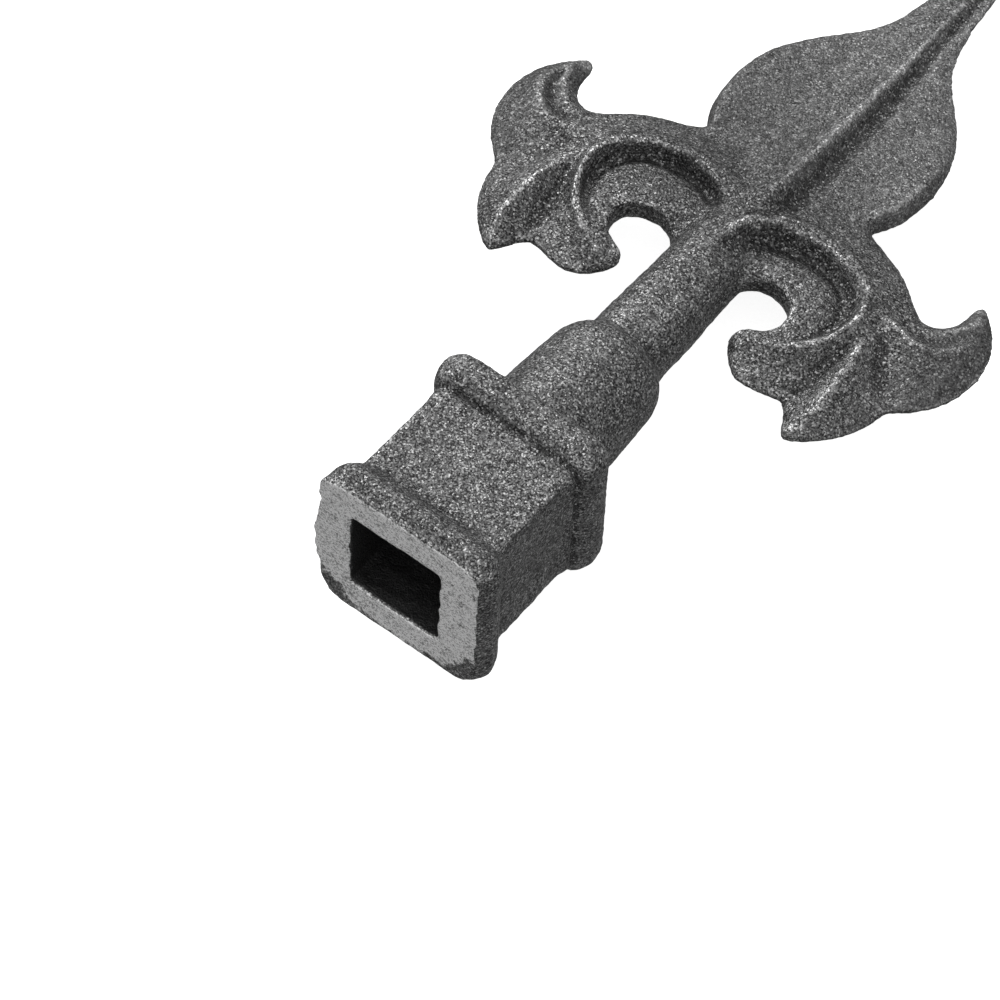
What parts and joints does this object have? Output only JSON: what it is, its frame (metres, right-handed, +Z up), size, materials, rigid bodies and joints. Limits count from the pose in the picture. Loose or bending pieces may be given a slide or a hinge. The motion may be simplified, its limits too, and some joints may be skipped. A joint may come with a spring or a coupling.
{
  "type": "fence finial",
  "caption": "Cast iron fleur-de-lis spear finial on a square socket block, lying on its back.",
  "frame": {"origin": "on the table, under the middle of the casting's box as it lies on its back", "axes": "+Y from the socket mouth towards the tip, +X across both leaves, +Z up through the carved front"},
  "size_m": [0.079, 0.1506, 0.0294],
  "materials": {
    "iron": "rough as-cast grey iron, bare, with a ground socket mouth"
  },
  "bodies": {
    "root": {"fence_finial": "iron"}
  },
  "joints": []
}
